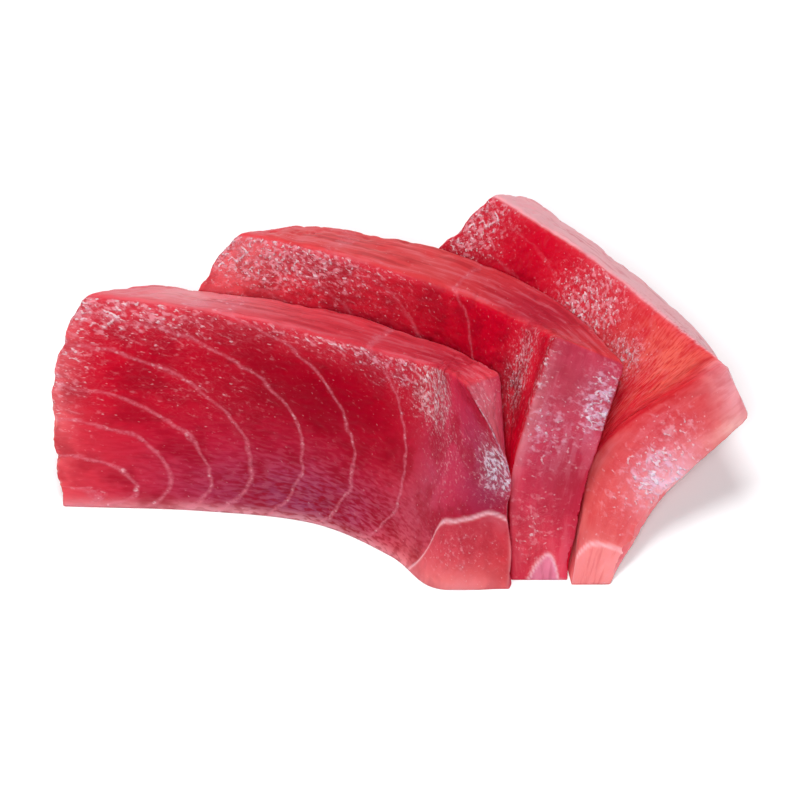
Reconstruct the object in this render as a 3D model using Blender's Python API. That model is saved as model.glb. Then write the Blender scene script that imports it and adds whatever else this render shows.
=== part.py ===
"""Three slices of raw tuna, cut across one block and fanned out where they fell.

Each slice is a slab about 32 mm high and 9 mm thick.  It stands on the floor on
its long cut edge and leans back on the slice behind it.  The left ends spread
apart, and the right ends come together at one corner, where the slices taper.

Sizes are in millimetres and are turned into metres when a mesh is made.
X runs along the front slice, Y runs away from its face and Z is up.
"""

import math
from collections import namedtuple

import bmesh
import bpy
import numpy as np

MM = 0.001

# The block that was sliced: what each slab measures before it is bent.
SLICE_LENGTH = 74.0
SLICE_HEIGHT = 32.0
SLICE_THICKNESS = 9.0
EDGE_ROUND = 0.5

# Mesh rows along, up and through a slab.
ROWS_ALONG = 31
ROWS_UP = 13
ROWS_THROUGH = 4

# The fan is modelled from the front slice's near left corner, then centred.
FAN_CENTRE = (48.24, 14.1)

# The left end, seen from the front: it swells at mid height, is tucked in at
# the top, and the muscle layers that end there make small steps in it.  The
# offsets are at equally spaced heights, from the floor to the top.
LEFT_EDGE = (-0.3, -1.3, -1.75, -1.55, 0.1, 2.9)
LEFT_REACH = 0.25
LAYER_STEP = 0.35
LAYER_COUNT = 5.71
LAYER_START = 0.375

# A slice is lofted through upright sections, from its left end to its right.
#   foot     where the section's front edge stands on the floor
#   toward   the way it leans, in degrees from straight back, turning right
#   lean     how far it leans from upright, in degrees
#   height   the length of its front edge, up the slope
#   behind   from the foot to the rear edge on the floor
#   over     from the top of the front edge to the top of the rear edge
Section = namedtuple("Section", "foot toward lean height behind over")

# How a slice's ends are trimmed.
#   headings    the plan direction of the left and the right end, in degrees
#   edge        how far the right end's front edge stands out, at equally
#               spaced heights from the floor to the top
#   rear_share  how much of that the rear edge follows
#   tuck        how much of the left end's tuck this slice has
#   bow         how far the face bulges at mid height
Trim = namedtuple("Trim", "headings edge rear_share tuck bow")
RIGHT_REACH = 0.5
RIGHT_EASE = 1.5

SLICES = {
    "slice_front": (
        (
            Section((0.0, 0.0), 0, 43.0, 32.0, (7.5, 6.0), (9.5, 5.0, -5.4)),
            Section((20.0, -0.8), 2, 37.0, 31.5, (2.0, 11.2), (1.5, 7.3, -6.8)),
            Section((36.0, -2.8), 9, 30.0, 31.0, (1.8, 11.2), (1.5, 8.5, -6.8)),
            Section((47.0, -8.0), 14, 34.0, 31.3, (2.5, 11.0), (2.5, 7.2, -6.3)),
            Section((53.4, -13.15), 3.7, 40.9, 32.9, (4.6, 8.5), (4.2, 4.6, -4.6)),
            Section((64.1, -13.2), -18.2, 40.7, 31.7, (0.35, 0.65), (5.1, 3.7, -3.3)),
        ),
        Trim((0, 20), (0.0, 1.6, 2.5, 4.1, 2.8, 0.0), 0.0, 1.0, 0.0),
    ),
    "slice_middle": (
        (
            Section((15.8, 13.0), 18, 38.0, 32.0, (8.0, 6.0), (7.0, 3.8, -4.6)),
            Section((33.0, 10.6), 15, 33.0, 31.5, (3.5, 11.5), (2.0, 8.4, -6.8)),
            Section((49.0, 5.3), 20, 32.5, 31.2, (3.9, 9.8), (2.8, 9.7, -6.5)),
            Section((59.8, -2.0), 18, 36.5, 31.8, (5.6, 5.2), (6.0, 7.1, -6.7)),
            Section((64.4, -11.9), 12.8, 44.1, 37.0, (8.0, -0.1), (10.4, -1.0, -6.8)),
        ),
        Trim((18, 25), (0.0, -1.6, -2.8, -2.2, -1.2, 0.0), 0.3, 1.0, 0.0),
    ),
    "slice_back": (
        (
            Section((44.3, 22.4), 45, 43.0, 34.0, (7.5, 5.0), (6.0, 3.4, -6.1)),
            Section((58.4, 12.8), 48, 45.0, 32.8, (6.3, 6.0), (3.9, 4.4, -7.0)),
            Section((69.6, 0.2), 46, 47.0, 33.4, (6.5, 3.0), (4.4, 3.2, -7.6)),
            Section((72.95, -12.75), 42.2, 55.8, 39.0, (5.5, 0.2), (3.5, -4.7, -7.3)),
        ),
        Trim((46, 46), (0.0, -4.4, -8.3, -7.15, -3.6, 0.0), 0.25, 0.3, 1.2),
    ),
}

FLESH = {
    "slice_front": ("flesh_front", (0.55, 0.02, 0.05)),
    "slice_middle": ("flesh_middle", (0.56, 0.025, 0.055)),
    "slice_back": ("flesh_back", (0.64, 0.05, 0.06)),
}
FLESH_ROUGHNESS = 0.3


def along_stations(values, u):
    """Smooth values between equally spaced stations (a Catmull-Rom spline)."""
    values = np.asarray(values, float)
    spans = len(values) - 1
    x = np.clip(u, 0.0, 1.0) * spans
    i = np.minimum(x.astype(int), spans - 1)
    f = x - i
    first = 2 * values[0] - values[1]
    last = 2 * values[-1] - values[-2]
    padded = np.concatenate([[first], values, [last]])
    a, b, c, d = padded[i], padded[i + 1], padded[i + 2], padded[i + 3]
    bend = (2 * a - 5 * b + 4 * c - d) * f**2 + (3 * b - a - 3 * c + d) * f**3
    return 0.5 * (2 * b + (c - a) * f + bend)


def heading(degrees):
    """The plan direction that many degrees to the right of the X axis."""
    angle = math.radians(degrees)
    return np.array([math.cos(angle), -math.sin(angle), 0.0])


def left_profile(v, tuck):
    """How far the left end stands out at each height, steps included."""
    offset = along_stations(LEFT_EDGE, v)
    offset = np.where(offset > 0.0, offset * tuck, offset)
    steps = LAYER_STEP * np.abs(np.sin(math.pi * (LAYER_COUNT * v - LAYER_START)))
    return offset + LAYER_STEP - steps


def flesh_point(sections, trim, u, v, w):
    """Points of a slab: u runs along it, v up it and w from front to rear."""
    def station(read):
        return along_stations([read(section) for section in sections], u)

    toward = np.radians(station(lambda s: s.toward))
    lean = np.radians(station(lambda s: s.lean))
    height = station(lambda s: s.height)
    level = np.zeros_like(u)
    foot = np.stack([station(lambda s: s.foot[0]), station(lambda s: s.foot[1]), level], -1)
    behind = np.stack([station(lambda s: s.behind[0]), station(lambda s: s.behind[1]), level], -1)
    over = np.stack([station(lambda s, k=k: s.over[k]) for k in range(3)], -1)
    back_x, back_y = np.sin(toward), np.cos(toward)
    slope = np.stack([back_x * np.sin(lean), back_y * np.sin(lean), np.cos(lean)], -1)
    out = np.stack([-back_x * np.cos(lean), -back_y * np.cos(lean), np.sin(lean)], -1)

    top = foot + slope * height[:, None]
    front = foot + (top - foot) * v[:, None]
    rear_foot = foot + behind
    rear = rear_foot + (top + over - rear_foot) * v[:, None]
    point = front + (rear - front) * w[:, None]

    bulge = trim.bow * 4.0 * v * (1.0 - v) * np.clip((1.0 - u) / LEFT_REACH, 0.0, 1.0)
    left_share = np.clip(1.0 - u / LEFT_REACH, 0.0, 1.0) ** 2
    right_share = np.clip((u - 1.0 + RIGHT_REACH) / RIGHT_REACH, 0.0, 1.0) ** RIGHT_EASE
    right_share = right_share * (1.0 - w * (1.0 - trim.rear_share))
    left_shift = left_profile(v, trim.tuck) * left_share
    right_shift = along_stations(trim.edge, v) * right_share
    point = point + out * bulge[:, None]
    point = point + heading(trim.headings[0]) * left_shift[:, None]
    return point + heading(trim.headings[1]) * right_shift[:, None]


def rounded(box, size, radius):
    """Move points of a box's skin onto the same box with rounded edges."""
    inner = np.clip(box, radius, np.asarray(size) - radius)
    outward = box - inner
    reach = np.linalg.norm(outward, axis=1, keepdims=True)
    return inner + outward * (radius / reach)


def rows(length, count):
    """Row positions over a length, with one row where each rounded edge ends."""
    return np.concatenate([[0.0], np.linspace(EDGE_ROUND, length - EDGE_ROUND, count - 1), [length]])


def slab_mesh(name, sections, trim):
    """Loft the slab: a box's six sides in rows, rounded, then bent to shape."""
    size = (SLICE_LENGTH, SLICE_HEIGHT, SLICE_THICKNESS)
    grid = [rows(length, count) for length, count in zip(size, (ROWS_ALONG, ROWS_UP, ROWS_THROUGH))]
    corners = {}
    quads = []

    def corner(index):
        return corners.setdefault(index, len(corners))

    for axis in range(3):
        first, second = (axis + 1) % 3, (axis + 2) % 3
        for side in (0, len(grid[axis]) - 1):
            for i in range(len(grid[first]) - 1):
                for j in range(len(grid[second]) - 1):
                    loop = []
                    for step_i, step_j in ((0, 0), (1, 0), (1, 1), (0, 1)):
                        index = [0, 0, 0]
                        index[axis] = side
                        index[first] = i + step_i
                        index[second] = j + step_j
                        loop.append(corner(tuple(index)))
                    quads.append(loop)

    box = np.array([[grid[axis][index[axis]] for axis in range(3)] for index in corners])
    share = rounded(box, size, EDGE_ROUND) / np.asarray(size)
    points = flesh_point(sections, trim, share[:, 0], share[:, 1], share[:, 2])
    points = (points - np.array([FAN_CENTRE[0], FAN_CENTRE[1], 0.0])) * MM

    shape = bmesh.new()
    verts = [shape.verts.new(point) for point in points]
    for loop in quads:
        shape.faces.new([verts[index] for index in loop])
    bmesh.ops.recalc_face_normals(shape, faces=shape.faces)
    mesh = bpy.data.meshes.new(name)
    shape.to_mesh(mesh)
    shape.free()
    mesh.shade_smooth()
    return mesh


def flesh_material(name, colour):
    """Wet raw flesh in one plain colour."""
    material = bpy.data.materials.new(name)
    material.use_nodes = True
    shader = material.node_tree.nodes["Principled BSDF"]
    shader.inputs["Base Color"].default_value = (*colour, 1.0)
    shader.inputs["Roughness"].default_value = FLESH_ROUGHNESS
    shader.inputs["Metallic"].default_value = 0.0
    return material


def main():
    for thing in list(bpy.data.objects):
        bpy.data.objects.remove(thing, do_unlink=True)
    fan = bpy.data.collections.new("tuna_sashimi")
    bpy.context.scene.collection.children.link(fan)
    for name, (sections, trim) in SLICES.items():
        mesh = slab_mesh(name, sections, trim)
        mesh.materials.append(flesh_material(*FLESH[name]))
        fan.objects.link(bpy.data.objects.new(name, mesh))


main()
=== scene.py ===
# %% [markdown]
# # Tuna sashimi
# Three thick slices of raw tuna, cut across one block.  They still lean on each
# other in the order they were cut, and the left ends have fanned apart.  The
# solids give the size and the place of every slice, so they come first, and
# nothing below may leave their box.

# %% Load the solids
import math
from collections import namedtuple

import bpy
import numpy as np
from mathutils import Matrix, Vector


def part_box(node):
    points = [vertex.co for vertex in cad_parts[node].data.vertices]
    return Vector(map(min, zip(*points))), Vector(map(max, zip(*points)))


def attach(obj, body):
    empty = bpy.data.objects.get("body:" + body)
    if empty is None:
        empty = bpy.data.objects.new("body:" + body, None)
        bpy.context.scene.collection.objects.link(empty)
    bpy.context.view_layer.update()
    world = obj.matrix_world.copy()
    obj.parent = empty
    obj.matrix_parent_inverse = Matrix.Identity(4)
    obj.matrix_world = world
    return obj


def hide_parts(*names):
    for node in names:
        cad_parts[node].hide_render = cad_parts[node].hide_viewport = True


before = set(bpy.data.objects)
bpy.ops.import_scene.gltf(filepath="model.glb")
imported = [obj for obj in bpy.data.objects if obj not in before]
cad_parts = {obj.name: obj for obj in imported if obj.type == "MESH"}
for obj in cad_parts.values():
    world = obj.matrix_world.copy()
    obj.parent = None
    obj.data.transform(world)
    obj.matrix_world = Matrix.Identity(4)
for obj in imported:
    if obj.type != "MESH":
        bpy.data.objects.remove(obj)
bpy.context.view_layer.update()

MM = 0.001
for name in sorted(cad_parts):
    low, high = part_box(name)
    print(name, "is", [round((b - a) / MM, 1) for a, b in zip(low, high)], "mm")

# %% [markdown]
# ## The shape of a slice
# A slice is a slab of flesh about 32 mm high and 9 mm thick that has bent under
# its own weight.  It could be sculpted, but a loft keeps it measurable: upright
# sections stand along the slice, each with its own lean and heading, and the
# slab runs smoothly through them.  The solids were lofted through these same
# sections, in millimetres, so the fine mesh here has the same shape.

# %% Sections of the three slices
#   the slab before it bends: its length, height and thickness
SLICE_SIZE = np.array([74.0, 32.0, 9.0])
#   the fan is laid out from the front slice's near left corner, then centred
FAN_CENTRE = np.array([48.24, 14.1, 0.0])

#   foot     where the section's front edge stands on the floor
#   toward   the way it leans, in degrees from straight back, turning right
#   lean     how far it leans from upright, in degrees
#   height   the length of its front edge, up the slope
#   behind   from the foot to the rear edge on the floor
#   over     from the top of the front edge to the top of the rear edge
Section = namedtuple("Section", "foot toward lean height behind over")

#   headings    the plan direction of the left and the right end, in degrees
#   edge        how far the right end's front edge stands out, at equally
#               spaced heights from the floor to the top
#   rear_share  how much of that the rear edge follows
#   tuck        how much of the left end's tuck this slice has
#   bow         how far the face bulges at mid height
Trim = namedtuple("Trim", "headings edge rear_share tuck bow")

SLICES = {
    "slice_front": (
        (
            Section((0.0, 0.0), 0, 43.0, 32.0, (7.5, 6.0), (9.5, 5.0, -5.4)),
            Section((20.0, -0.8), 2, 37.0, 31.5, (2.0, 11.2), (1.5, 7.3, -6.8)),
            Section((36.0, -2.8), 9, 30.0, 31.0, (1.8, 11.2), (1.5, 8.5, -6.8)),
            Section((47.0, -8.0), 14, 34.0, 31.3, (2.5, 11.0), (2.5, 7.2, -6.3)),
            Section((53.4, -13.15), 3.7, 40.9, 32.9, (4.6, 8.5), (4.2, 4.6, -4.6)),
            Section((64.1, -13.2), -18.2, 40.7, 31.7, (0.35, 0.65), (5.1, 3.7, -3.3)),
        ),
        Trim((0, 20), (0.0, 1.6, 2.5, 4.1, 2.8, 0.0), 0.0, 1.0, 0.0),
    ),
    "slice_middle": (
        (
            Section((15.8, 13.0), 18, 38.0, 32.0, (8.0, 6.0), (7.0, 3.8, -4.6)),
            Section((33.0, 10.6), 15, 33.0, 31.5, (3.5, 11.5), (2.0, 8.4, -6.8)),
            Section((49.0, 5.3), 20, 32.5, 31.2, (3.9, 9.8), (2.8, 9.7, -6.5)),
            Section((59.8, -2.0), 18, 36.5, 31.8, (5.6, 5.2), (6.0, 7.1, -6.7)),
            Section((64.4, -11.9), 12.8, 44.1, 37.0, (8.0, -0.1), (10.4, -1.0, -6.8)),
        ),
        Trim((18, 25), (0.0, -1.6, -2.8, -2.2, -1.2, 0.0), 0.3, 1.0, 0.0),
    ),
    "slice_back": (
        (
            Section((44.3, 22.4), 45, 43.0, 34.0, (7.5, 5.0), (6.0, 3.4, -6.1)),
            Section((58.4, 12.8), 48, 45.0, 32.8, (6.3, 6.0), (3.9, 4.4, -7.0)),
            Section((69.6, 0.2), 46, 47.0, 33.4, (6.5, 3.0), (4.4, 3.2, -7.6)),
            Section((72.95, -12.75), 42.2, 55.8, 39.0, (5.5, 0.2), (3.5, -4.7, -7.3)),
        ),
        Trim((46, 46), (0.0, -4.4, -8.3, -7.15, -3.6, 0.0), 0.25, 0.3, 1.2),
    ),
}
print(len(SLICES), "slices,", sum(len(sections) for sections, _ in SLICES.values()), "sections")


# %% Loft through the sections
#   how far the left end is set in, at equally spaced heights: it swells at mid
#   height and is tucked in at the top
LEFT_EDGE = (-0.3, -1.3, -1.75, -1.55, 0.1, 2.9)
#   the small steps in it, where the muscle layers end
LAYER_STEP = 0.35
LAYER_COUNT = 5.71
LAYER_START = 0.375
#   the share of a slice's length over which each end is trimmed
END_REACH = 0.25
RIGHT_REACH = 0.5
RIGHT_EASE = 1.5


def along_stations(values, u):
    """Smooth values between equally spaced stations (a Catmull-Rom spline)."""
    values = np.asarray(values, float)
    spans = len(values) - 1
    x = np.clip(u, 0.0, 1.0) * spans
    i = np.minimum(x.astype(int), spans - 1)
    f = x - i
    first = 2 * values[0] - values[1]
    last = 2 * values[-1] - values[-2]
    padded = np.concatenate([[first], values, [last]])
    a, b, c, d = padded[i], padded[i + 1], padded[i + 2], padded[i + 3]
    bend = (2 * a - 5 * b + 4 * c - d) * f**2 + (3 * b - a - 3 * c + d) * f**3
    return 0.5 * (2 * b + (c - a) * f + bend)


def heading(degrees):
    """The plan direction that many degrees to the right of the X axis."""
    angle = math.radians(degrees)
    return np.array([math.cos(angle), -math.sin(angle), 0.0])


def left_profile(v, tuck):
    """How far the left end is set in at each height, layer steps included."""
    offset = along_stations(LEFT_EDGE, v)
    offset = np.where(offset > 0.0, offset * tuck, offset)
    steps = np.abs(np.sin(math.pi * (LAYER_COUNT * v - LAYER_START)))
    return offset + LAYER_STEP * (1.0 - steps)


def flesh_point(sections, trim, share):
    """Points of a slab from shares (u along it, v up it, w from front to rear)."""
    u, v, w = share.T

    def station(read):
        return along_stations([read(section) for section in sections], u)

    toward = np.radians(station(lambda s: s.toward))
    lean = np.radians(station(lambda s: s.lean))
    height = station(lambda s: s.height)
    level = np.zeros_like(u)
    foot = np.stack([station(lambda s, k=k: s.foot[k]) for k in range(2)] + [level], -1)
    behind = np.stack([station(lambda s, k=k: s.behind[k]) for k in range(2)] + [level], -1)
    over = np.stack([station(lambda s, k=k: s.over[k]) for k in range(3)], -1)
    back_x, back_y = np.sin(toward), np.cos(toward)
    slope = np.stack([back_x * np.sin(lean), back_y * np.sin(lean), np.cos(lean)], -1)
    out = np.stack([-back_x * np.cos(lean), -back_y * np.cos(lean), np.sin(lean)], -1)

    top = foot + slope * height[:, None]
    front = foot + (top - foot) * v[:, None]
    rear_foot = foot + behind
    rear = rear_foot + (top + over - rear_foot) * v[:, None]
    point = front + (rear - front) * w[:, None]

    bulge = trim.bow * 4.0 * v * (1.0 - v) * np.clip((1.0 - u) / END_REACH, 0.0, 1.0)
    left_share = np.clip(1.0 - u / END_REACH, 0.0, 1.0) ** 2
    right_share = np.clip((u - 1.0 + RIGHT_REACH) / RIGHT_REACH, 0.0, 1.0) ** RIGHT_EASE
    right_share = right_share * (1.0 - w * (1.0 - trim.rear_share))
    left_shift = left_profile(v, trim.tuck) * left_share
    right_shift = along_stations(trim.edge, v) * right_share
    point = point + out * bulge[:, None]
    point = point + heading(trim.headings[0]) * left_shift[:, None]
    return point + heading(trim.headings[1]) * right_shift[:, None]


# %% [markdown]
# ## The skin of a slice
# Flesh shows detail of a third of a millimetre, so each slab gets rows that
# close together.  A subdivided cube would bunch its rows at the corners; rows
# laid on the six sides of a box stay even, and the box position of each corner
# is kept as an attribute in millimetres.  Every pattern below reads it, so the
# grain bends with the flesh and runs through from one side to the next.  The
# edges are rounded in the box, before it bends: most along the top front edge,
# where the soft flesh sags, and hardly at all where a slice meets the floor.

# %% Rows on the six sides of a box
ROW_STEP = 0.34
#   how round the edges are at the foot, at mid height and at the top, in mm
EDGE_ROUND = (0.25, 0.5, 1.2)
#   the most at the rear, where a slice's edge rests against the next one
REAR_ROUND = 0.5


def box_skin(size, step):
    """Corner positions in mm and quads of a box's skin, cut into even rows."""
    counts = [int(round(length / step)) for length in size]
    quads = []
    for axis in range(3):
        first, second = (axis + 1) % 3, (axis + 2) % 3
        across, up = np.arange(counts[first] + 1), np.arange(counts[second] + 1)
        i, j = np.meshgrid(across, up, indexing="ij")
        for far in (False, True):
            row = [None, None, None]
            row[axis] = np.full_like(i, counts[axis] if far else 0)
            row[first], row[second] = i, j
            key = (row[0] * (counts[1] + 1) + row[1]) * (counts[2] + 1) + row[2]
            around = [key[:-1, :-1], key[1:, :-1], key[1:, 1:], key[:-1, 1:]]
            quad = np.stack(around, -1).reshape(-1, 4)
            quads.append(quad[:, ::-1] if far else quad)
    keys, quads = np.unique(np.concatenate(quads), return_inverse=True)
    row = np.stack([keys // ((counts[1] + 1) * (counts[2] + 1)),
                    keys // (counts[2] + 1) % (counts[1] + 1),
                    keys % (counts[2] + 1)], -1)
    return row / np.array(counts) * size, quads.reshape(-1, 4)


def rounded(box, size):
    """The same skin with rounded edges, and the way each corner faces."""
    heights = np.linspace(0.0, 1.0, len(EDGE_ROUND))
    radius = np.interp(box[:, 1] / size[1], heights, EDGE_ROUND)
    at_rear = np.minimum(radius, REAR_ROUND)
    radius = (radius + (at_rear - radius) * box[:, 2] / size[2])[:, None]
    inner = np.clip(box, radius, size - radius)
    outward = box - inner
    facing = outward / np.linalg.norm(outward, axis=1, keepdims=True)
    return inner + facing * radius, facing


SKIN, QUADS = box_skin(SLICE_SIZE, ROW_STEP)
SKIN, FACING = rounded(SKIN, SLICE_SIZE)
print(len(SKIN), "corners and", len(QUADS), "quads a slice")

# %% [markdown]
# ## Seams between the muscle layers
# The pale arcs on the cut face are sheets of connective tissue between the
# muscle layers, cut across.  They nest like the rings of an onion that opens
# to the lower left.  They could be painted one by one, but they are sheets in a
# solid, so they are given here as one field: each arc is half an ellipse, and a
# point's seam number tells which arcs it lies between.  The number is a whole
# one on an arc, which lets the material draw fine lines at any distance.

# %% Seam arcs on the cut face
#   tip, tip_height   the rightmost point of the arc, in mm along and up
#   reach             how far the arc runs back to the left
#   rise, fall        how far it runs up and down from its tip
Arc = namedtuple("Arc", "tip tip_height reach rise fall")
ARCS = (
    Arc(4.3, 2.0, 3.2, 1.3, 1.6),
    Arc(7.9, 3.7, 8.0, 4.2, 4.2),
    Arc(11.5, 4.5, 11.0, 8.8, 6.0),
    Arc(15.7, 4.5, 15.2, 13.9, 7.0),
    Arc(20.7, 7.0, 21.0, 17.6, 11.5),
    Arc(27.5, 11.0, 25.5, 17.9, 19.0),
    Arc(35.1, 10.5, 24.0, 22.0, 17.0),
    Arc(44.4, 11.6, 20.0, 24.0, 15.5),
    Arc(57.0, 12.5, 18.0, 26.0, 17.0),
    Arc(70.0, 13.0, 18.0, 28.0, 18.0),
    Arc(84.0, 14.0, 18.0, 30.0, 19.0),
)
#   how finely arcs between the given ones are tried
ARC_STEPS = 101
#   how fast an arc runs off to the left past its two ends
PAST_THE_END = 150.0
#   the least distance between two tried arcs, in mm, which keeps their order
LEAST_STEP = 1e-4


def arc_place(number, up):
    """Where arc `number` crosses the height `up`; past its ends it runs on."""
    read = number / (len(ARCS) - 1)
    columns = [along_stations(column, read) for column in zip(*ARCS)]
    tip, tip_height, reach, rise, fall = columns
    away = up - tip_height
    away = np.where(away > 0.0, away / rise, -away / fall)
    inside = np.sqrt(np.clip(1.0 - away**2, 0.0, 1.0))
    return tip - reach * (1.0 - inside) - PAST_THE_END * np.clip(away - 1.0, 0.0, None)


def seam_number(along, up):
    """Which arcs each point lies between: 2.5 is midway from arc 2 to arc 3."""
    numbers = np.linspace(0.0, len(ARCS) - 1.0, ARC_STEPS)
    found = np.zeros_like(along)
    before = arc_place(numbers[:1], up)
    found -= np.clip((before - along) / PAST_THE_END, 0.0, None)
    for low, high in zip(numbers[:-1], numbers[1:]):
        after = np.maximum(arc_place(np.array([high]), up), before + LEAST_STEP)
        found += np.clip((along - before) / (after - before), 0.0, 1.0) * (high - low)
        before = after
    return found


#   shift, tilt   how far a slice's arcs lie along from the front slice's, and
#                 how much further they lie at its rear
SEAM_SHIFT = {"slice_front": (0.0, 2.4), "slice_middle": (3.6, 2.4), "slice_back": (7.5, 3.0)}
#   how clearly a slice shows them
SEAM_CLARITY = {"slice_front": 1.0, "slice_middle": 0.55, "slice_back": 0.25}
#   the fewest and the most seams that a millimetre may hold
SEAMS_PER_MM = (0.04, 2.0)
#   the small step over which a slope is measured
NUDGE = 0.2


def seam_field(name, box):
    """The seam number at each corner, and the millimetres from seam to seam."""
    shift, tilt = SEAM_SHIFT[name]
    along = box[:, 0] - shift - tilt * box[:, 2] / SLICE_SIZE[2]
    number = seam_number(along, box[:, 1])
    across = (seam_number(along + NUDGE, box[:, 1]) - number) / NUDGE
    upward = (seam_number(along, box[:, 1] + NUDGE) - number) / NUDGE
    return number, 1.0 / np.clip(np.hypot(across, upward), *SEAMS_PER_MM)


TRY_ALONG = np.array([10.0, 30.0, 50.0])
TRY_UP = np.full(3, 12.0)
print("seam numbers on the front face:", seam_number(TRY_ALONG, TRY_UP).round(2))

# %% [markdown]
# ## Low relief
# A cut slice is not flat.  The flesh sinks a little along each seam, soft lumps
# run over it, and at the gathered corner a thin flap of the next layer lies on
# the face with a raised edge.  A displacement map could hold this, but the fine
# mesh can carry it as real relief.  It only ever goes inwards, so the slice
# keeps to its solid's box.  How much a corner belongs to each side of the box is
# a soft share for relief and a crisp one for colour, since a cut side and its
# neighbour differ in tone right up to their edge.

# %% Flaps at the gathered corner
#   side          the side of the box it lies on
#   start, stop   the stretch it covers, in mm along that side
#   border        its upper border, at equally spaced places over the stretch
#   ledge         how far the flesh beside it sinks
#   pale          how much of its own pale colour it takes
Flap = namedtuple("Flap", "side start stop border ledge pale")
FLAPS = {
    "slice_front": (Flap("face", 50.0, 74.0, (0.0, 3.8, 9.6, 10.6, 11.4, 12.3, 11.4), 0.45, 0.35),),
    "slice_middle": (Flap("end", 2.6, 7.6, (0.0, 1.7, 2.8, 3.5, 2.4, 0.0), 0.25, 0.6),),
    "slice_back": (Flap("end", 0.0, 9.0, (2.8, 4.6, 5.1, 5.3, 5.2), 0.4, 0.7),),
}
#   the axis that each side of the box faces along, and which way
SIDES = {
    "left": (0, -1), "end": (0, 1), "foot": (1, -1), "top": (1, 1), "face": (2, -1), "rear": (2, 1),
}
#   how wide a flap's border is and how far beside it the flesh sinks, in mm
BORDER_WIDTH = 0.24
LEDGE_REACH = 3.5
#   how sharply colours change from one side of the box to the next
CRISP = 8


def side_share(facing, side, crisp=2):
    """How much each corner belongs to one side of the box; the shares sum to one."""
    axis, sign = SIDES[side]
    part = np.abs(facing) ** crisp
    return np.where(sign * facing[:, axis] > 0.0, part[:, axis] / part.sum(1), 0.0)


def smooth(x):
    """An ease from 0 to 1."""
    x = np.clip(x, 0.0, 1.0)
    return x * x * (3.0 - 2.0 * x)


def flap_masks(name, box, facing):
    """Where the flaps are, how pale, their borders, and how far the flesh beside them sinks."""
    inside, pale, border, sink = np.zeros((4, len(box)))
    for flap in FLAPS[name]:
        along = box[:, 0] if flap.side == "face" else box[:, 2]
        share = (along - flap.start) / (flap.stop - flap.start)
        before, after = [along_stations(flap.border, share + step) for step in (-NUDGE, NUDGE)]
        rise = (after - before) / (2.0 * NUDGE * (flap.stop - flap.start))
        above = (box[:, 1] - along_stations(flap.border, share)) / np.hypot(1.0, rise)
        above = np.maximum(above, flap.start - along)
        on_side = side_share(facing, flap.side)
        seen = side_share(facing, flap.side, CRISP)
        here = seen * smooth(0.5 - above / BORDER_WIDTH)
        inside = np.maximum(inside, here)
        pale = np.maximum(pale, flap.pale * here)
        border = np.maximum(border, seen * np.exp(-((above / BORDER_WIDTH) ** 2)))
        beside = smooth(above / BORDER_WIDTH) * smooth(1.0 - above / LEDGE_REACH)
        sink = np.maximum(sink, flap.ledge * on_side * beside)
    return inside, pale, border, sink


# %% [markdown]
# ## Tones of the flesh
# Tuna is not one red.  The middle of the block is dark crimson and the outer side
# carries a pale film.  The lower part is painted mauve where the light sinks in,
# the thin ends and the foot are painted a glowing coral and a pale rim where
# light shines through them, and a few pale patches are painted highlight.  These
# are slow changes over centimetres, so they are mixed here as soft zones and
# stored as a colour on each corner.  The material then only adds what is fine.

# %% Palette and zones
def tone(red, green, blue):
    """A colour in the 0 to 255 steps of a picture, as linear light."""
    step = np.array([red, green, blue]) / 255.0
    return np.where(step <= 0.04045, step / 12.92, ((step + 0.055) / 1.055) ** 2.4)


CRIMSON = tone(150, 0, 26)
SCARLET = tone(202, 0, 36)
ROSE = tone(210, 46, 80)
BERRY = tone(188, 36, 60)
MAUVE = tone(148, 58, 90)
CORAL = tone(230, 70, 84)
ORANGE = tone(234, 102, 88)
SALMON = tone(248, 146, 146)
FILM = tone(246, 176, 184)
# PINK, LILAC and FROST colour the wet film and the sheen and glints painted on it
PINK = tone(244, 152, 168)
LILAC = tone(238, 196, 228)
FROST = tone(244, 224, 244)
PLUM = tone(142, 18, 62)
DUSK = tone(184, 82, 98)
EMBER = tone(224, 86, 84)
CREAM = tone(244, 192, 184)
TOMATO = tone(228, 72, 76)
BLUSH = tone(232, 92, 94)
ORCHID = tone(228, 150, 182)
FLAP_TONES = {"slice_front": BLUSH, "slice_middle": ORCHID, "slice_back": SALMON}


def side_tones(top, foot, end):
    """The tone of each side of a slice, under its zones."""
    cut = {"face": SCARLET, "rear": SCARLET}
    return {**cut, "top": top, "foot": foot, "left": CORAL, "end": end}


SIDE_TONES = {
    "slice_front": side_tones(top=CORAL, foot=ROSE, end=ROSE),
    "slice_middle": side_tones(top=TOMATO, foot=ROSE, end=ROSE),
    "slice_back": side_tones(top=FILM, foot=CORAL, end=EMBER),
}

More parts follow.
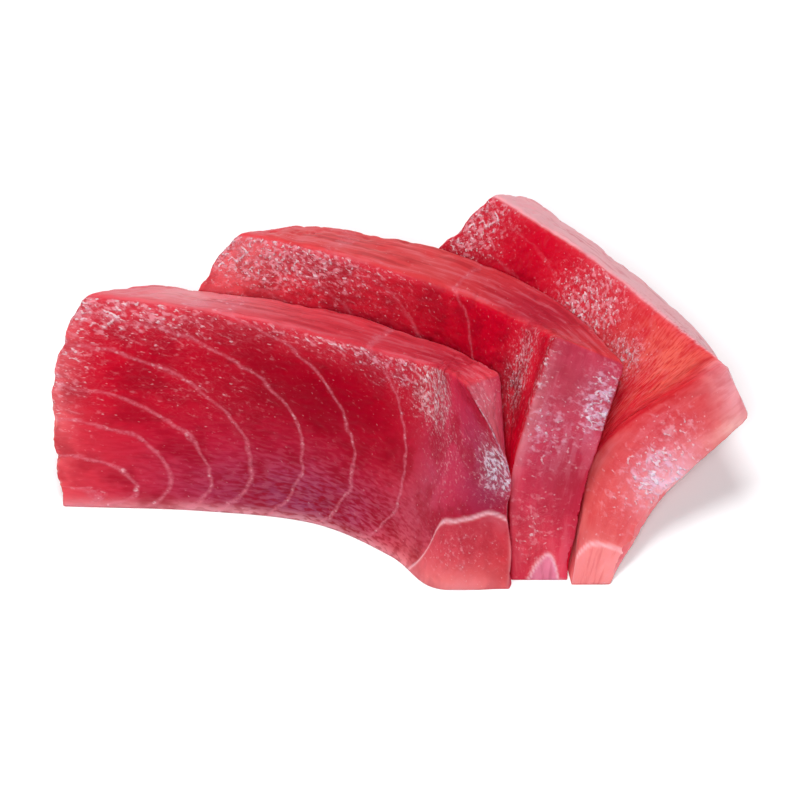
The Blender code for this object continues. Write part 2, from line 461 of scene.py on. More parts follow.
#   side     the side it shows on, or None for all of the slice
#   centre   its middle in the slab's box, in mm along, up and through
#   reach    how far it spreads along, up and through
#   share    how strong it is at its middle
Zone = namedtuple("Zone", "side colour centre reach share")
ZONES = {
    "slice_front": (
        Zone(None, CRIMSON, (29, 21, 0), (17, 9, 9), 0.95),
        # painted light: mauve where the light sinks into the lower part, coral and salmon where it
        # shines through the thin left end
        Zone(None, MAUVE, (28, 3, 0), (21, 9, 20), 0.94),
        Zone(None, CORAL, (-2, 5, 4), (8, 9, 20), 0.8),
        Zone(None, CORAL, (0, 20, 4), (2.5, 20, 20), 0.6),
        Zone(None, SALMON, (0, 17, 2), (1.8, 12, 20), 0.4),
        Zone("face", CORAL, (10, 31, 0), (22, 2.5, 9), 0.4),
        Zone("face", ROSE, (57, 18, 0), (8, 18, 9), 0.7),
        Zone("face", MAUVE, (52, 16, 0), (6, 9, 9), 0.45),
        Zone("face", CORAL, (48, 1, 0), (9, 4, 9), 0.6),
        Zone("face", MAUVE, (68, 20, 0), (9, 12, 9), 0.75),
        Zone("face", PLUM, (70, 17, 0), (5, 6, 9), 0.5),
        Zone("face", DUSK, (50, 8, 0), (8, 9, 9), 0.55),
        Zone("face", SALMON, (62, 0, 0), (12, 3.5, 9), 0.85),
        # a pale rim painted along the foot, where light shines through the thin edge
        Zone("face", FILM, (24, 0, 0), (36, 1.2, 9), 0.75),
        Zone("top", FILM, (11, 32, 6), (10, 9, 5), 0.6),
        Zone("top", BERRY, (54, 32, 4), (16, 9, 9), 0.8),
        # a pale line along the right edge, partly the flesh's own and partly painted light against
        # the shade of the gap behind it
        Zone("face", FILM, (74, 5, 0), (0.5, 8, 9), 0.7),
        Zone("end", FILM, (74, 28, 2), (9, 6, 5), 0.3),
    ),
    "slice_middle": (
        Zone(None, CRIMSON, (34, 23, 0), (16, 7, 9), 0.6),
        # painted light: mauve where the light sinks into the lower part, coral where it shines
        # through the thin left end
        Zone(None, MAUVE, (30, 6, 4), (16, 8, 20), 0.6),
        Zone(None, CORAL, (0, 16, 4), (5, 30, 20), 0.8),
        # a painted highlight: lighter coral and salmon on the upper left of the face
        Zone("face", CORAL, (8, 31, 0), (16, 5, 9), 0.9),
        Zone("face", SALMON, (4, 28, 0), (7, 6, 9), 0.35),
        Zone("top", BERRY, (56, 32, 4), (15, 9, 9), 0.9),
        Zone("end", CRIMSON, (74, 15, 6.5), (9, 5, 3), 0.6),
        Zone("end", DUSK, (74, 26, 4), (9, 7, 6), 0.6),
        Zone("end", CORAL, (74, 4, 3), (9, 6, 6), 0.75),
        Zone("end", FILM, (74, 20, 0), (9, 8, 1.2), 0.5),
        Zone("end", DUSK, (74, 14, 5), (9, 5, 4), 0.3),
    ),
    "slice_back": (
        Zone(None, CRIMSON, (12, 22, 0), (13, 7, 9), 0.5),
        Zone("face", ORANGE, (58, 28, 0), (17, 9, 9), 0.9),
        Zone("face", CORAL, (46, 32, 0), (28, 1.5, 9), 0.5),
        Zone("face", SALMON, (74, 0, 0), (6, 7, 9), 0.8),
        Zone("rear", FILM, (74, 10, 9), (5, 16, 9), 0.9),
        Zone("end", ROSE, (74, 20, 5), (9, 8, 6), 0.35),
        Zone("end", CREAM, (74, 29, 8.6), (9, 5, 1.8), 0.85),
        Zone(None, FILM, (74, 32, 1), (3.5, 2, 5), 0.85),
        Zone("face", FILM, (74, 32, 0), (3.5, 3, 9), 0.8),
        Zone("end", FILM, (74, 33, 5), (9, 4, 7), 0.8),
        Zone("end", SALMON, (74, 2, 4), (9, 4, 8), 0.9),
        Zone("end", FILM, (74, 17, 8.5), (9, 7, 3.2), 0.8),
    ),
}


def near(zone, box, facing):
    """How much each corner lies in a zone."""
    away = (box - np.array(zone.centre)) / np.array(zone.reach)
    share = zone.share * np.exp(-(away**2).sum(1))
    return share * side_share(facing, zone.side, CRISP) if zone.side else share


def paint(name, box, facing):
    """The slow colour changes of a slice, one colour for each corner."""
    sides = SIDE_TONES[name]
    colour = sum(side_share(facing, side, CRISP)[:, None] * sides[side] for side in sides)
    for zone in ZONES[name]:
        colour = colour + (zone.colour - colour) * near(zone, box, facing)[:, None]
    return colour


# %% Where the flesh is wet, with sheen and glints painted on it, and where the grain shows
#     the same kind of soft zone, for a strength of wetness and of painted sheen and
#     glints; the colour is that of the wet film and of the sheen and glints painted on it
WET_AND_GLINTS = {
    "slice_front": (
        Zone("face", PINK, (1, 31, 0), (18, 5.5, 9), 1.15),
        Zone("face", PINK, (0, 22, 0), (4.5, 10, 9), 0.85),
        Zone("face", PINK, (35, 31.5, 0), (22, 3.2, 9), 0.85),
        Zone("face", LILAC, (43, 29, 0), (7, 3.5, 9), 0.7),
        Zone("face", PINK, (15, 20, 0), (9, 6, 9), 0.3),
        Zone("face", FILM, (51.5, 29, 0), (8, 6, 9), 1.7),
        Zone("face", PINK, (57, 21, 0), (8, 9, 9), 0.5),
        Zone("face", PINK, (63, 6, 0), (9, 5, 9), 0.45),
        Zone("face", FROST, (71, 19.5, 0), (5, 4.5, 9), 1.3),
        Zone(None, LILAC, (73.6, 24, 0.4), (0.8, 9, 1.0), 1.3),
        Zone(None, PINK, (74, 30, 3), (2, 4, 5), 0.7),
    ),
    "slice_middle": (
        Zone("face", PINK, (7, 30, 0), (20, 6, 9), 1.5),
        Zone("face", PINK, (60.5, 25, 0), (6, 8, 9), 1.1),
        Zone(None, PINK, (73, 28, 0), (2.5, 9, 1.6), 0.85),
        Zone("end", LILAC, (74, 25.5, 7.4), (9, 5.5, 2.4), 1.25),
        Zone("end", LILAC, (74, 19.5, 2.5), (9, 6, 4), 0.68),
        Zone("end", PINK, (74, 7, 3), (9, 4.5, 4), 0.6),
    ),
    "slice_back": (
        Zone("face", PINK, (31, 27, 0), (8, 5, 9), 1.4),
        Zone("face", PINK, (3, 27, 0), (6, 8, 9), 1.1),
        Zone("face", PINK, (44, 24, 0), (8, 4, 9), 1.1),
        Zone("end", LILAC, (74, 17, 6.8), (9, 6, 3.8), 1.3),
        Zone("end", PINK, (74, 22.5, 4.5), (9, 3.5, 3.5), 0.85),
        Zone("end", PINK, (74, 10, 5), (9, 4, 4), 0.5),
    ),
}
#   where the muscle fibres show; they have no colour of their own
GRAIN = {
    "slice_front": (Zone(None, None, (32, 4, 4), (20, 9, 20), 1.0),),
    "slice_middle": (Zone(None, None, (32, 8, 4), (22, 12, 20), 1.0),),
    "slice_back": (Zone(None, None, (54, 22, 0), (18, 13, 7), 1.0),),
}
#     the least wetness and painted glint, and the least grain, of any place
EVERYWHERE = 0.02


def strength(zones, box, facing):
    """The strongest of some zones at each corner."""
    least = np.full(len(box), EVERYWHERE)
    return np.max([least] + [near(zone, box, facing) for zone in zones], axis=0)


def film_and_sheen_colour(zones, box, facing):
    """The colour of the wet film and of the sheen and glints painted on it, led by the strongest
    zones.
    """
    colour = np.tile(PINK, (len(box), 1))
    for zone in zones:
        colour += (zone.colour - colour) * np.clip(near(zone, box, facing), 0.0, 1.0)[:, None]
    return colour


# %% [markdown]
# ## Putting a slice together
# The corners, quads and the fields above become one mesh.  A field is stored as
# a named attribute, which both Geometry Nodes and materials can read.

# %% Slab mesh with its fields
#   the height over which relief fades out towards the floor, in mm
FOOT_REACH = 3.0
#   seams fade out from this number on, over this many numbers
LAST_SEAM = 7.0
SEAM_FADE = 0.8
#     how much of the seams the wet film and the sheen painted on it hide
FILM_HIDES = 0.6
#   how much of the bundles and clouds in the flesh each cut side shows
CUT_SIDES = {"face": 1.0, "rear": 1.0, "left": 1.0, "end": 0.5}
#   and how much less of them a flap shows
FLAP_CALM = 0.5


def store(mesh, name, kind, values):
    """Keep one value for each corner under a name; a colour gets full cover."""
    if kind == "FLOAT_COLOR":
        values = np.column_stack([values, np.ones(len(values))])
    key = {"FLOAT": "value", "FLOAT_VECTOR": "vector", "FLOAT_COLOR": "color"}[kind]
    values = np.asarray(values, np.float32).ravel()
    mesh.attributes.new(name, kind, "POINT").data.foreach_set(key, values)


def slab(name):
    """A slice's skin, lofted, with what its patterns need stored on it."""
    sections, trim = SLICES[name]
    points = (flesh_point(sections, trim, SKIN / SLICE_SIZE) - FAN_CENTRE) * MM
    points = np.clip(points, *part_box(name))
    mesh = bpy.data.meshes.new(name + "_flesh")
    mesh.from_pydata(points, [], QUADS)
    mesh.shade_smooth()
    number, spread = seam_field(name, SKIN)
    on_flap, pale, border, sink = flap_masks(name, SKIN, FACING)
    colour = paint(name, SKIN, FACING)
    colour += (FLAP_TONES[name] - colour) * pale[:, None]
    # how wet each corner is, which also sets how much sheen and glint is painted there
    wet = np.clip(strength(WET_AND_GLINTS[name], SKIN, FACING), 0.0, 1.0)
    in_range = 1.0 - smooth((number - LAST_SEAM) / SEAM_FADE)
    shown = in_range * (1.0 - on_flap) * (1.0 - FILM_HIDES * wet) * SEAM_CLARITY[name]
    cut = sum(side_share(FACING, side) * part for side, part in CUT_SIDES.items())
    store(mesh, "place", "FLOAT_VECTOR", SKIN)
    store(mesh, "tone", "FLOAT_COLOR", colour)
    store(mesh, "film_and_sheen", "FLOAT_COLOR", film_and_sheen_colour(WET_AND_GLINTS[name], SKIN, FACING))
    store(mesh, "seam", "FLOAT", number)
    store(mesh, "spread", "FLOAT", spread)
    store(mesh, "shown", "FLOAT", shown)
    store(mesh, "border", "FLOAT", border)
    store(mesh, "sink", "FLOAT", sink)
    store(mesh, "wet", "FLOAT", wet)
    store(mesh, "free", "FLOAT", smooth(SKIN[:, 1] / FOOT_REACH))
    store(mesh, "grain", "FLOAT", strength(GRAIN[name], SKIN, FACING) * (1.0 - on_flap))
    store(mesh, "cut", "FLOAT", cut * (1.0 - FLAP_CALM * on_flap))
    slice_object = bpy.data.objects.new(name + "_flesh", mesh)
    bpy.context.scene.collection.objects.link(slice_object)
    return slice_object


SLABS = {name: slab(name) for name in SLICES}
print("slabs:", {name: len(piece.data.polygons) for name, piece in SLABS.items()}, "quads")


# %% [markdown]
# ## A short way to add nodes
# Materials and Geometry Nodes are both node trees, so one helper serves both:
# an input is either a plain value or the output of an earlier node.

# %% Node helpers
def add(tree, kind, inputs=(), **settings):
    """Add a node, set it up, and give it plain values or other nodes' outputs."""
    made = tree.nodes.new(kind)
    for key, value in settings.items():
        setattr(made, key, value)
    for key, value in dict(inputs).items():
        if isinstance(value, bpy.types.NodeSocket):
            tree.links.new(value, made.inputs[key])
        else:
            made.inputs[key].default_value = value
    return made


def maths(tree, operation, *values):
    """The result of one sum."""
    return add(tree, "ShaderNodeMath", dict(enumerate(values)), operation=operation).outputs[0]


def times(tree, value, *others):
    """Several values multiplied, one after the other."""
    for other in others:
        value = maths(tree, "MULTIPLY", value, other)
    return value


def remap(tree, value, low, high, to_low=0.0, to_high=1.0):
    """Ease a value from one range to another."""
    ranges = {"Value": value, "From Min": low, "From Max": high,
              "To Min": to_low, "To Max": to_high}
    eased = add(tree, "ShaderNodeMapRange", ranges, interpolation_type="SMOOTHSTEP")
    return eased.outputs["Result"]


def turned(tree, place, angle):
    """Places turned about the slab's thickness."""
    inputs = {"Vector": place, "Angle": angle}
    return add(tree, "ShaderNodeVectorRotate", inputs, rotation_type="Z_AXIS").outputs["Vector"]


def blend(tree, share, start, end):
    """Mix two colours."""
    return add(tree, "ShaderNodeMix", {0: share, 6: start, 7: end}, data_type="RGBA").outputs[2]


def sockets(tree, inputs, outputs):
    """Give a group its named inputs and outputs; return both ends and their identifiers."""
    made = {}
    for direction, table in (("INPUT", inputs), ("OUTPUT", outputs)):
        for name, kind in table.items():
            kind, default = kind if isinstance(kind, tuple) else (kind, None)
            socket = tree.interface.new_socket(
                name, in_out=direction, socket_type="NodeSocket" + kind
            )
            if default is not None:
                socket.default_value = default
            made[name] = socket.identifier
    return add(tree, "NodeGroupInput").outputs, add(tree, "NodeGroupOutput").inputs, made


# %% Noise, measured in millimetres
#   per_mm      how fine it is: one number, or one each for along, up and through
#   detail      how many steps of finer noise ride on it
#   roughness   how strong they are
#   turn        how far it is turned about the slab's thickness, in degrees
#   swirl       how far it is pulled about
Noise = namedtuple("Noise", "per_mm detail roughness turn swirl", defaults=(0.0, 0.0))
#   the value that every noise varies about
NOISE_MEAN = 0.5


def noise(tree, place, kind):
    """Smooth random values from 0 to 1."""
    scale = kind.per_mm
    if isinstance(scale, tuple):
        slanted = turned(tree, place, math.radians(kind.turn))
        inputs = {0: slanted, 1: scale}
        place = add(tree, "ShaderNodeVectorMath", inputs, operation="MULTIPLY").outputs[0]
        scale = 1.0
    inputs = {"Vector": place, "Scale": scale, "Detail": kind.detail,
              "Roughness": kind.roughness, "Distortion": kind.swirl}
    return add(tree, "ShaderNodeTexNoise", inputs).outputs[0]


# %% [markdown]
# ## Relief along the seams
# The same small relief goes over all three slices and follows the seam numbers,
# so it is a rule, and a Geometry Nodes tree holds it.  Its sizes are named
# inputs.  The tree reads the stored fields, pushes each corner inwards along
# its normal and sets the material.

# %% What the relief is made of
BUNDLES = Noise((0.55, 1.3, 1.0), 2.0, 0.6, 16.0)
LUMPS = Noise(0.12, 1.0, 0.5)
DIMPLES = Noise(0.40, 2.0, 0.5)
#   the noise values where the flesh starts to sink and where it is at its lowest
BUNDLE_LEVELS = (0.4, 0.7)
LUMP_LEVELS = (0.40, 0.75)
DIMPLE_LEVELS = (0.50, 0.80)


def field(tree, name, kind="FLOAT"):
    """A stored attribute inside Geometry Nodes."""
    read = add(tree, "GeometryNodeInputNamedAttribute", {"Name": name}, data_type=kind)
    return read.outputs["Attribute"]


def seam_distance(tree, number, spread):
    """Millimetres to the nearest seam."""
    off = maths(tree, "SUBTRACT", number, maths(tree, "ROUND", number))
    return times(tree, maths(tree, "ABSOLUTE", off), spread)


# %% Geometry Nodes tree for the relief
relief = bpy.data.node_groups.new("flesh_relief", "GeometryNodeTree")
given, result, RELIEF_SOCKETS = sockets(
    relief,
    {"Geometry": "Geometry", "Seam depth": ("Float", 0.12), "Seam width": ("Float", 0.9),
     "Bundle depth": ("Float", 0.14), "Lump depth": ("Float", 0.3),
     "Dimple depth": ("Float", 0.28), "Material": "Material"},
    {"Result": "Geometry"},
)
place = field(relief, "place", "FLOAT_VECTOR")
far_off = seam_distance(relief, field(relief, "seam"), field(relief, "spread"))
groove = remap(relief, far_off, given["Seam width"], 0.0)
groove = times(relief, groove, field(relief, "shown"), given["Seam depth"])
bundles = remap(relief, noise(relief, place, BUNDLES), *BUNDLE_LEVELS)
bundles = times(relief, bundles, field(relief, "cut"), given["Bundle depth"])
lumps = remap(relief, noise(relief, place, LUMPS), *LUMP_LEVELS)
lumps = times(relief, lumps, given["Lump depth"])
dimples = remap(relief, noise(relief, place, DIMPLES), *DIMPLE_LEVELS)
dimples = times(relief, dimples, given["Dimple depth"])

fine = maths(relief, "ADD", groove, bundles)
coarse = maths(relief, "ADD", lumps, dimples)
coarse = maths(relief, "ADD", coarse, field(relief, "sink"))
depth = times(relief, maths(relief, "ADD", fine, coarse), field(relief, "free"))
normal = add(relief, "GeometryNodeInputNormal").outputs[0]
inwards = {0: normal, "Scale": times(relief, depth, -MM)}
push = add(relief, "ShaderNodeVectorMath", inwards, operation="SCALE").outputs[0]
move = {"Geometry": given["Geometry"], "Offset": push}
moved = add(relief, "GeometryNodeSetPosition", move).outputs[0]
solid = add(relief, "GeometryNodeRealizeInstances", {"Geometry": moved}).outputs[0]
finish = {"Geometry": solid, "Material": given["Material"]}
finished = add(relief, "GeometryNodeSetMaterial", finish).outputs[0]
relief.links.new(finished, result["Result"])
print("relief sockets:", ", ".join(RELIEF_SOCKETS))

# %% [markdown]
# ## Raw flesh as a material
# Under the wet surface light travels a few millimetres through the flesh, most
# of all in red, so the shader uses subsurface scattering.  On top come fine
# things that no corner could carry.  All three slices need them, so they are
# one node group that gives a colour, a roughness and a height, in this order:
# 1. deep clouds and short dashes of muscle fibre on the cut sides, and long
#    streaks on the sides that were not cut across;
# 2. where the flesh is wet, painted sheen and highlights: a thin pale film, a
#    soft pale mottle that is partly the flesh's own and partly painted sheen,
#    fine glint threads and small bright painted glints; the drier it is, the
#    fewer of them pass their level;
# 3. the pale seam lines, with glints painted along them, and the light border of
#    a flap.

# %% The marks in the flesh, and the sheen and glints painted on it
#   the noise that each kind of mark comes from
NOISES = {
    "sway": Noise(0.3, 2.0, 0.4),
    "chain": Noise(1.7, 3.0, 0.65),
    "seam_glint": Noise(1.1, 2.0, 0.5),
    "cloud": Noise(0.16, 3.0, 0.55),
    "dash": Noise((0.65, 1.9, 1.5), 1.5, 0.5),
    "streak": Noise((0.10, 0.14, 0.9), 3.0, 0.6, 4.0),
    "patch": Noise(0.5, 3.0, 0.6),
    "mottle_and_sheen": Noise((1.1, 1.6, 1.3), 2.0, 0.5, 25.0),
    "painted_glint": Noise((1.4, 2.0, 1.7), 1.0, 0.5, 25.0),
    "glint_thread": Noise((0.9, 1.2, 1.0), 2.0, 0.5, 20.0, 0.8),
}
#   the noise values where a mark starts to show and where it shows in full
LEVELS = {
    "chain": (0.38, 0.60), "seam_glint": (0.58, 0.70), "cloud": (0.44, 0.62), "patch": (0.36, 0.60),
    "pale dash": (0.50, 0.60), "dark dash": (0.49, 0.39),
    "pale streak": (0.50, 0.66), "dark streak": (0.50, 0.36),
}
#   how strongly a mark then colours the flesh
SHARES = {
    "cloud": 0.55, "dark dash": 0.75, "pale dash": 0.35, "halo": 0.012,
    "pale streak": 0.22, "dark streak": 0.35, "film_and_sheen": 0.08, "glint_thread": 0.18,
    "line": 0.48, "seam_glint": 0.35,
}
#     how high it stands, next to a painted glint
HEIGHTS = {"mottle_and_sheen": 0.5, "glint_thread": 0.4, "line": 0.3}

#     The pale mottle, partly the flesh's own and partly painted sheen, and the
#     painted glints depend on how wet the flesh is.
#   level, rise   the noise value where they start on wet flesh, and how much
#                 higher it is on dry flesh
#   width         how much higher still they show in full
#   share, gain   how strongly they colour dry flesh, and how much more wet flesh
Speckle = namedtuple("Speckle", "level rise width share gain")
SPECKLES = {
    "mottle_and_sheen": Speckle(0.38, 0.22, 0.22, 0.1, 0.55),
    "painted_glint": Speckle(0.53, 0.18, 0.12, 0.2, 0.72),
}

#   how far the seams sway and how far their halo reaches, in mm
SWAY = 1.8
HALO = (1.2, 0.1)
#   the strength of a seam between its links and at them
LINKS = (0.4, 1.0)
#   the rim of a flap: what the links add to it, and what it has without them
RIM = (0.2, 0.4)
#     how wet a wet place is, and how strong its painted sheen and glints, between
#     its patches and at them
PATCHES = (0.6, 1.0)
#     how wide a painted glint thread is, as a step of noise
GLINT_THREAD_WIDTH = 0.07
#     how much of a lighter colour goes into dashes, the mottle and sheen, and the
#     painted glints
DASH_PALE, MOTTLE_AND_SHEEN_PALE, PAINTED_GLINT_PALE = 0.45, 0.2, 0.66
#   what is left of the ripples on dry flesh
DRY_RIPPLE = 0.12
#   over this range of wetness the roughness falls from its first value to its second
DAMP = (0.1, 0.8)
ROUGHNESS = (0.32, 0.12)
print(len(NOISES), "noises and", len(SHARES) + len(SPECKLES), "marks that colour the flesh")

# %% Shader group for the flesh
flesh_pattern = bpy.data.node_groups.new("flesh_pattern", "ShaderNodeTree")
given, result, _ = sockets(
    flesh_pattern,
    {"Tone": "Color", "Film_and_sheen": "Color", "Place": "Vector", "Seam": "Float", "Spread": "Float",
     "Shown": "Float", "Border": "Float", "Wet": "Float", "Grain": "Float", "Cut": "Float",
     "Fibre turn": ("Float", 0.3), "Seam colour": "Color", "Seam width": ("Float", 0.44),
     "Depth colour": "Color", "Glint colour": "Color"},
    {"Colour": "Color", "Roughness": "Float", "Height": "Float"},
)
tree = flesh_pattern


def noise_of(kind, place=given["Place"]):
    """The noise of one kind of mark."""
    return noise(tree, place, NOISES[kind])


def mark(kind, value, *masks):
    """Where a noise passes a mark's levels, weakened by masks and by its share."""
    return times(tree, remap(tree, value, *LEVELS[kind]), *masks, SHARES[kind])


# %% Seams and rims
sway = times(tree, maths(tree, "SUBTRACT", noise_of("sway"), NOISE_MEAN), SWAY)
number = maths(tree, "ADD", given["Seam"], maths(tree, "DIVIDE", sway, given["Spread"]))
far_off = seam_distance(tree, number, given["Spread"])
chain = remap(tree, noise_of("chain"), *LEVELS["chain"], *LINKS)
line = times(tree, remap(tree, far_off, given["Seam width"], 0.0), chain, given["Shown"])
halo = times(tree, remap(tree, far_off, *HALO), given["Shown"], SHARES["halo"])
rim = times(tree, given["Border"], maths(tree, "MULTIPLY_ADD", chain, *RIM))
# glints painted along the seam lines, in the glint colour
seam_glint = mark("seam_glint", noise_of("seam_glint"), line)

# %% Marks on cut sides and on the others
cloud = mark("cloud", noise_of("cloud"), given["Cut"])
dashes = noise_of("dash", turned(tree, given["Place"], given["Fibre turn"]))
pale_dash = mark("pale dash", dashes, given["Grain"])
dark_dash = mark("dark dash", dashes, given["Grain"])
streaks = noise_of("streak")
uncut = maths(tree, "SUBTRACT", 1.0, given["Cut"])
pale_streak = mark("pale streak", streaks, uncut)
dark_streak = mark("dark streak", streaks, uncut)

# %% Sheen and glints painted on wet flesh
wetness_and_glints = times(tree, given["Wet"], remap(tree, noise_of("patch"), *LEVELS["patch"], *PATCHES))
dry_and_dull = maths(tree, "SUBTRACT", 1.0, wetness_and_glints)


def speckle(kind):
    """Where the mottle and sheen or the painted glints show, and how strongly they colour the
    flesh.
    """
    made = SPECKLES[kind]
    level = maths(tree, "MULTIPLY_ADD", dry_and_dull, made.rise, made.level)
    seen = remap(tree, noise_of(kind), level, maths(tree, "ADD", level, made.width))
    return seen, times(tree, seen, maths(tree, "MULTIPLY_ADD", wetness_and_glints, made.gain, made.share))


mottle_and_sheen, mottle_and_sheen_share = speckle("mottle_and_sheen")
painted_glint, painted_glint_share = speckle("painted_glint")
swirls = maths(tree, "SUBTRACT", noise_of("glint_thread"), NOISE_MEAN)
off = maths(tree, "ABSOLUTE", swirls)
glint_thread = times(tree, remap(tree, off, GLINT_THREAD_WIDTH, 0.0), wetness_and_glints)

# %% Colour, height and roughness from the marks
lighter = blend(tree, DASH_PALE, given["Tone"], given["Seam colour"])
milky_sheen = blend(tree, MOTTLE_AND_SHEEN_PALE, given["Film_and_sheen"], given["Glint colour"])
bright = blend(tree, PAINTED_GLINT_PALE, given["Film_and_sheen"], given["Glint colour"])
#   each layer covers the ones before it by its share
LAYERS = (
    (cloud, given["Depth colour"]),
    (dark_dash, given["Depth colour"]),
    (pale_dash, lighter),
    (halo, given["Seam colour"]),
    (pale_streak, given["Film_and_sheen"]),
    (dark_streak, given["Depth colour"]),
    # the film, mottle, threads and glints here are painted sheen and highlights
    (times(tree, wetness_and_glints, SHARES["film_and_sheen"]), given["Film_and_sheen"]),
    (mottle_and_sheen_share, milky_sheen),
    (times(tree, glint_thread, SHARES["glint_thread"]), given["Film_and_sheen"]),
    (painted_glint_share, bright),
    (rim, bright),
    (times(tree, line, SHARES["line"]), given["Seam colour"]),
    # glints painted along the seam lines
    (seam_glint, given["Glint colour"]),
)
coloured = given["Tone"]
for share, colour in LAYERS:
    coloured = blend(tree, share, coloured, colour)

raised = maths(tree, "ADD", painted_glint, times(tree, glint_thread, HEIGHTS["glint_thread"]))
raised = maths(tree, "ADD", times(tree, mottle_and_sheen, HEIGHTS["mottle_and_sheen"]), raised)
ripple = times(tree, raised, maths(tree, "ADD", DRY_RIPPLE, wetness_and_glints))
ridge = times(tree, maths(tree, "ADD", line, rim), HEIGHTS["line"])
tree.links.new(coloured, result["Colour"])
tree.links.new(remap(tree, wetness_and_glints, *DAMP, *ROUGHNESS), result["Roughness"])
tree.links.new(maths(tree, "ADD", ripple, ridge), result["Height"])
print("flesh_pattern has", len(tree.nodes), "nodes and", len(LAYERS), "layers of colour")


# %% Materials of the three slices
PALE_SEAM = tone(226, 128, 146)
GLINT = tone(255, 238, 244)
#   what the group reads at each corner: the stored field of the same name, from
#   this output of an attribute node
READS = {
    "Tone": "Color", "Film_and_sheen": "Color", "Place": "Vector", "Seam": "Fac", "Spread": "Fac",
    "Shown": "Fac", "Border": "Fac", "Wet": "Fac", "Grain": "Fac", "Cut": "Fac",
}
BUMP_HEIGHT = 0.16 * MM
#   how strongly the wet surface mirrors, and how the light spreads below it
IOR = 1.4
MIRRORING = 0.045
LIGHT_INSIDE = 0.25
LIGHT_REACH = 2.0 * MM
REACH_BY_COLOUR = (1.0, 0.22, 0.16)


def opaque(colour):
    """A colour with full cover, as a socket takes it."""
    return (*[float(part) for part in colour], 1.0)


def flesh(name, depth_colour, fibre_turn):
    """Raw flesh: colour and relief from the group, light that sinks in, a wet film."""
    material = bpy.data.materials.new(name)
    material.use_nodes = True
    tree = material.node_tree
    shader = tree.nodes["Principled BSDF"]
    pattern = add(tree, "ShaderNodeGroup", node_tree=flesh_pattern)
    for key, output in READS.items():
        read = add(tree, "ShaderNodeAttribute", attribute_name=key.lower())
        tree.links.new(read.outputs[output], pattern.inputs[key])
    colours = {"Seam colour": PALE_SEAM, "Depth colour": depth_colour, "Glint colour": GLINT}
    for key, colour in colours.items():
        pattern.inputs[key].default_value = opaque(colour)
    pattern.inputs["Fibre turn"].default_value = math.radians(fibre_turn)
    height = {"Height": pattern.outputs["Height"], "Strength": 1.0, "Distance": BUMP_HEIGHT}
    bump = add(tree, "ShaderNodeBump", height)
    tree.links.new(pattern.outputs["Colour"], shader.inputs["Base Color"])
    tree.links.new(pattern.outputs["Roughness"], shader.inputs["Roughness"])
    tree.links.new(bump.outputs["Normal"], shader.inputs["Normal"])
    shader.inputs["IOR"].default_value = IOR
    shader.inputs["Specular IOR Level"].default_value = MIRRORING
    shader.inputs["Subsurface Weight"].default_value = LIGHT_INSIDE
    shader.inputs["Subsurface Radius"].default_value = REACH_BY_COLOUR
    shader.inputs["Subsurface Scale"].default_value = LIGHT_REACH
    return material


#   the fibres' slant is in degrees
FLESH = {
    "slice_front": flesh("flesh_front", CRIMSON, fibre_turn=4.0),
    "slice_middle": flesh("flesh_middle", CRIMSON, fibre_turn=8.0),
    "slice_back": flesh("flesh_back", SCARLET, fibre_turn=75.0),
}
print("materials:", [material.name for material in FLESH.values()])


# %% Apply the relief
def plain_mesh(piece, tree, values):
    """Run a Geometry Nodes tree on a piece and keep the result as its mesh."""
    modifier = piece.modifiers.new(tree.name, "NODES")
    modifier.node_group = tree
    for identifier, value in values.items():
        modifier[identifier] = value
    graph = bpy.context.evaluated_depsgraph_get()
    mesh = bpy.data.meshes.new_from_object(
        piece.evaluated_get(graph), preserve_all_data_layers=True, depsgraph=graph
    )
    piece.modifiers.clear()
    return mesh


for name, piece in SLABS.items():
    piece.data = plain_mesh(piece, relief, {RELIEF_SOCKETS["Material"]: FLESH[name]})
    piece.data.shade_smooth()
    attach(piece, "root")
    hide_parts(name)
    print(piece.name, "has", len(piece.data.polygons), "quads and", piece.data.materials[0].name)

# %% [markdown]
# ## Floor, light and camera
# The slices lie on a plain pale floor that glows a little, like a light table,
# so their shadow stays faint.  A soft light above and behind lights their upper
# edges, where bright grain and glints are also painted, as over a counter.  One
# high in front shines into the gaps between the slices, one at the left keeps the
# free ends readable, and a small cool one at the right lights the gathered corner,
# where wet glints are also painted.

# %% Floor
WHITE = (1.0, 1.0, 1.0, 1.0)
FLOOR_GREY = (0.86, 0.86, 0.87, 1.0)
FLOOR_ROUGHNESS = 0.9
FLOOR_GLOW = 0.2
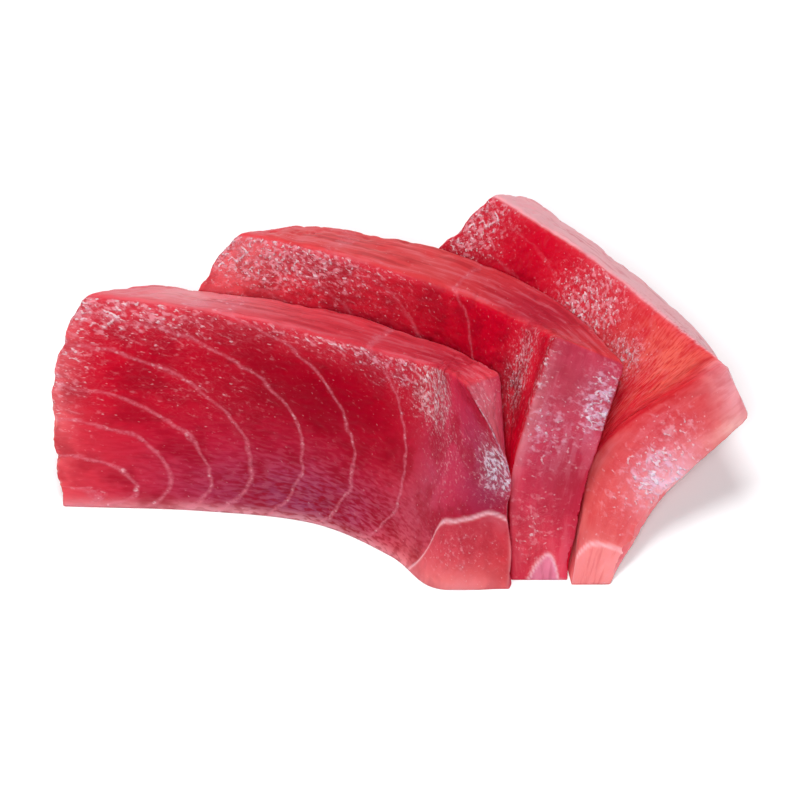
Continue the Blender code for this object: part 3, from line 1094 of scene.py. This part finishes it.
#   half its side, and how far it lies below the slices, in metres
FLOOR_HALF = 2.0
FLOOR_CLEAR = 0.02 * MM
corners = [(x * FLOOR_HALF, y * FLOOR_HALF, -FLOOR_CLEAR)
           for x, y in ((-1, -1), (1, -1), (1, 1), (-1, 1))]
floor_mesh = bpy.data.meshes.new("floor")
floor_mesh.from_pydata(corners, [], [(0, 1, 2, 3)])
floor = bpy.data.objects.new("floor", floor_mesh)
bpy.context.scene.collection.objects.link(floor)
floor_finish = bpy.data.materials.new("pale_floor")
floor_finish.use_nodes = True
floor_shader = floor_finish.node_tree.nodes["Principled BSDF"]
floor_shader.inputs["Base Color"].default_value = FLOOR_GREY
floor_shader.inputs["Roughness"].default_value = FLOOR_ROUGHNESS
floor_shader.inputs["Emission Color"].default_value = WHITE
floor_shader.inputs["Emission Strength"].default_value = FLOOR_GLOW
floor_mesh.materials.append(floor_finish)


# %% Lights
#   what the lights look at, in metres
MIDDLE = (0.0, 0.0, 0.01)
COOL = (0.80, 0.87, 1.0)
ROOM_LIGHT = 0.12


def aim(thing, target):
    """Turn a lamp or camera so that it looks at a place."""
    away = np.array(thing.location) - np.array(target)
    tilt = math.atan2(math.hypot(away[0], away[1]), away[2])
    thing.rotation_euler = (tilt, 0.0, math.atan2(away[0], -away[1]))


def soft_light(name, location, size, power, colour=WHITE[:3]):
    """A rectangular soft light that looks at the slices: metres, and watts."""
    lamp = bpy.data.lights.new(name, "AREA")
    lamp.shape = "RECTANGLE"
    lamp.size, lamp.size_y = size
    lamp.energy = power
    lamp.color = colour
    stand = bpy.data.objects.new(name, lamp)
    bpy.context.scene.collection.objects.link(stand)
    stand.location = location
    aim(stand, MIDDLE)


soft_light("overhead", (-0.04, 0.16, 0.58), (0.20, 0.20), 2.3)
soft_light("front_key", (-0.05, -0.32, 0.52), (0.12, 0.12), 1.25)
soft_light("left_side", (-0.52, -0.18, 0.33), (0.12, 0.12), 0.7)
soft_light("cool_side", (0.40, -0.42, 0.20), (0.08, 0.12), 0.55, COOL)

world = bpy.data.worlds.new("studio")
bpy.context.scene.world = world
world.use_nodes = True
background = world.node_tree.nodes["Background"]
background.inputs["Color"].default_value = WHITE
background.inputs["Strength"].default_value = ROOM_LIGHT
bpy.context.scene.view_settings.view_transform = "Standard"

# %% Camera
#   where it looks and how far away it stands, in metres; lens and sensor in mm
TARGET = np.array([0.0003, -0.0031, 0.0119])
ELEVATION = math.radians(60.0)
DISTANCE = 0.4285
LENS = 135.0
SENSOR = 36.0
lens = bpy.data.cameras.new("camera")
lens.lens = LENS
lens.sensor_width = SENSOR
camera = bpy.data.objects.new("camera", lens)
bpy.context.scene.collection.objects.link(camera)
camera.location = TARGET + DISTANCE * np.array([0.0, -math.cos(ELEVATION), math.sin(ELEVATION)])
aim(camera, TARGET)
bpy.context.scene.camera = camera
print("camera at", [round(x, 4) for x in camera.location])
